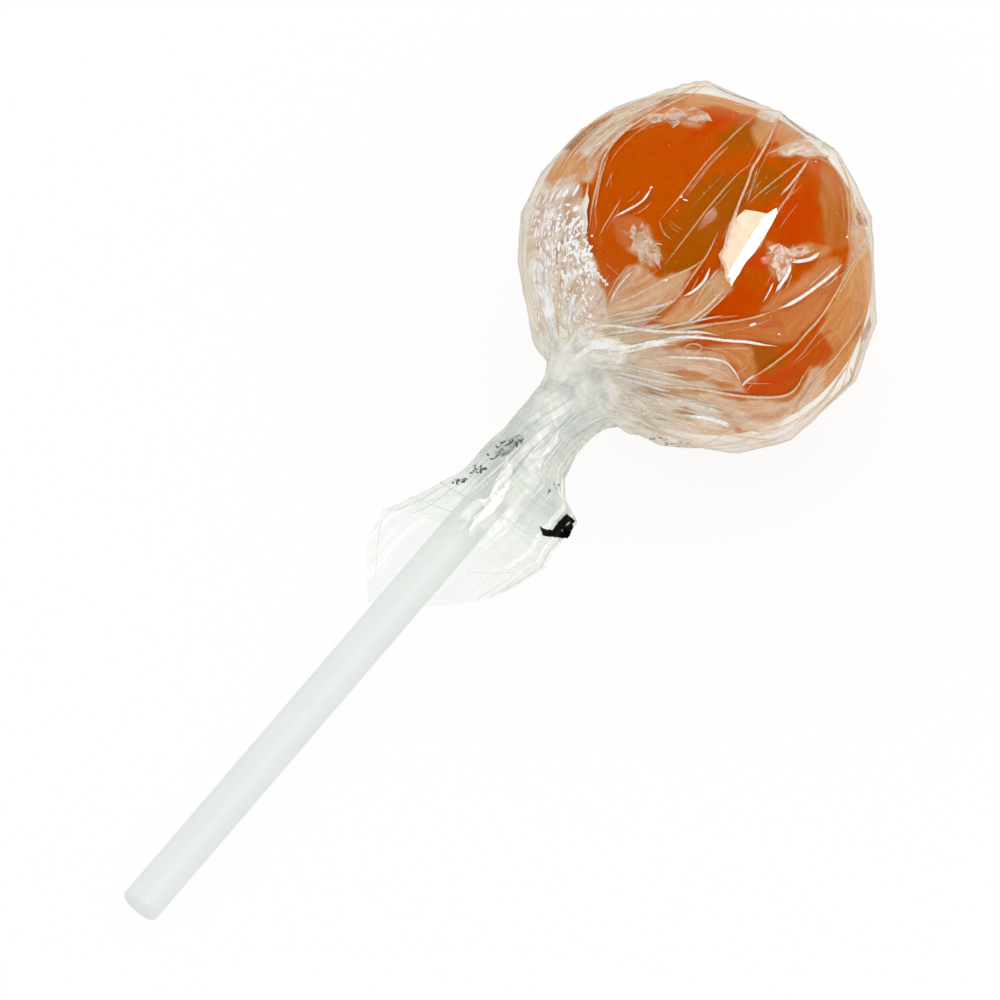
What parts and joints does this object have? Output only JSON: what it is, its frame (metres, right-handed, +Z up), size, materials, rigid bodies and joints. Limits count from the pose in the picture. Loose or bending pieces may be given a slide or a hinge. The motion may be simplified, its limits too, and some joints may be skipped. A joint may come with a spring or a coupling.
{
  "type": "lollipop",
  "caption": "Ball lollipop of amber boiled sugar on a plain white stick, wrapped in clear film gathered at the neck, lying on its side.",
  "frame": {"origin": "on the table, directly below the middle of the candy ball", "axes": "+Z up, +Y along the lollipop from the stick's free end towards the ball, +X to the right of it"},
  "size_m": [0.0377, 0.1042, 0.0362],
  "materials": {
    "candy": "clear amber boiled sugar, glossy, with fine bubbles and cloudy patches",
    "stick": "white, satin",
    "film": "clear glossy film"
  },
  "bodies": {
    "root": {"candy": "candy", "stick": "stick", "wrapper": "film"}
  },
  "joints": []
}
